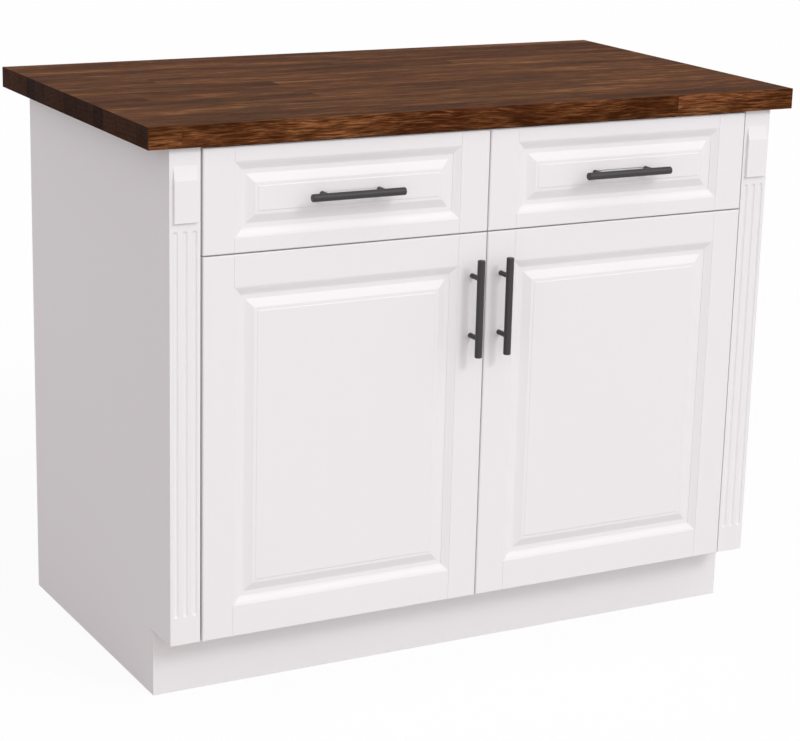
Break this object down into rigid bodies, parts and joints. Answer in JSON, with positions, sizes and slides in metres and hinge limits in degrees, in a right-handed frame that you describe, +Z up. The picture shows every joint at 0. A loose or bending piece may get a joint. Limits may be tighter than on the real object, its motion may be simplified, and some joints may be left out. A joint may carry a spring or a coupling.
{
  "type": "kitchen island unit",
  "caption": "Free-standing base cabinet with a wooden worktop, full-overlay raised-panel drawers over doors, fluted fillers and a recessed toe kick.",
  "frame": {"origin": "on the floor, in the middle of the overall width and depth", "axes": "+X along the front to the right as seen from the front, +Y from the fronts to the back, +Z up; fronts face -Y"},
  "size_m": [1.139, 0.666, 0.909],
  "materials": {
    "white_paint": "white satin paint on wood",
    "worktop_wood": "dark walnut, oiled, low sheen",
    "cabinet_interior": "white laminate on board, satin",
    "drawer_wood": "clear-coated pale wood, satin",
    "pull_black": "matt black",
    "hardware_steel": "zinc plated",
    "bumper_clear": "soft clear plastic"
  },
  "bodies": {
    "cabinet": {"worktop": "worktop_wood", "end_panel_left": "white_paint", "end_panel_right": "white_paint", "side_panel_left": "cabinet_interior", "side_panel_right": "cabinet_interior", "filler_left": "white_paint", "filler_right": "white_paint", "side_cleats": "drawer_wood", "bottom_panel": "cabinet_interior", "back_panel": "white_paint", "top_stretchers": "cabinet_interior", "mid_rail": "cabinet_interior", "drawer_divider": "cabinet_interior", "toe_kick_board": "white_paint", "shelf": "cabinet_interior", "shelf_pins": "hardware_steel", "fixing_screws": "hardware_steel", "hinge_arms": "hardware_steel", "cabinet_slide_members": "hardware_steel", "bumpers": "bumper_clear"},
    "left_drawer": {"left_drawer_outer_stile": "white_paint", "left_drawer_inner_stile": "white_paint", "left_drawer_top_rail": "white_paint", "left_drawer_bottom_rail": "white_paint", "left_drawer_front_panel": "white_paint", "left_drawer_box_sides": "drawer_wood", "left_drawer_box_ends": "drawer_wood", "left_drawer_bottom": "drawer_wood", "left_drawer_slide_members": "hardware_steel", "left_drawer_pull": "pull_black", "left_drawer_pull_screws": "hardware_steel"},
    "right_drawer": {"right_drawer_outer_stile": "white_paint", "right_drawer_inner_stile": "white_paint", "right_drawer_top_rail": "white_paint", "right_drawer_bottom_rail": "white_paint", "right_drawer_front_panel": "white_paint", "right_drawer_box_sides": "drawer_wood", "right_drawer_box_ends": "drawer_wood", "right_drawer_bottom": "drawer_wood", "right_drawer_slide_members": "hardware_steel", "right_drawer_pull": "pull_black", "right_drawer_pull_screws": "hardware_steel"},
    "left_middle_slides": {"left_drawer_middle_slides": "hardware_steel"},
    "right_middle_slides": {"right_drawer_middle_slides": "hardware_steel"},
    "left_door": {"left_door_hinge_stile": "white_paint", "left_door_meeting_stile": "white_paint", "left_door_top_rail": "white_paint", "left_door_bottom_rail": "white_paint", "left_door_panel": "white_paint", "left_door_hinge_cups": "hardware_steel", "left_door_pull": "pull_black", "left_door_pull_screws": "hardware_steel"},
    "right_door": {"right_door_hinge_stile": "white_paint", "right_door_meeting_stile": "white_paint", "right_door_top_rail": "white_paint", "right_door_bottom_rail": "white_paint", "right_door_panel": "white_paint", "right_door_hinge_cups": "hardware_steel", "right_door_pull": "pull_black", "right_door_pull_screws": "hardware_steel"}
  },
  "joints": [
    {"name": "left_drawer_slide", "type": "slide", "parent": "cabinet", "child": "left_drawer", "axis": [0, -1, 0], "range_m": [0, 0.45]},
    {"name": "right_drawer_slide", "type": "slide", "parent": "cabinet", "child": "right_drawer", "axis": [0, -1, 0], "range_m": [0, 0.45]},
    {"name": "left_middle_slide", "type": "slide", "parent": "cabinet", "child": "left_middle_slides", "axis": [0, -1, 0], "range_m": [0, 0.225]},
    {"name": "right_middle_slide", "type": "slide", "parent": "cabinet", "child": "right_middle_slides", "axis": [0, -1, 0], "range_m": [0, 0.225]},
    {"name": "left_door_hinge", "type": "hinge", "parent": "cabinet", "child": "left_door", "pos_m": [-0.4725, -0.2902, 0.4095], "axis": [0, 0, -1], "range_deg": [0, 100]},
    {"name": "right_door_hinge", "type": "hinge", "parent": "cabinet", "child": "right_door", "pos_m": [0.4725, -0.2902, 0.4095], "axis": [0, 0, 1], "range_deg": [0, 100]}
  ],
  "couplings": [
    {"joint": "left_middle_slide", "follows": "left_drawer_slide", "ratio": 0.5},
    {"joint": "right_middle_slide", "follows": "right_drawer_slide", "ratio": 0.5}
  ]
}
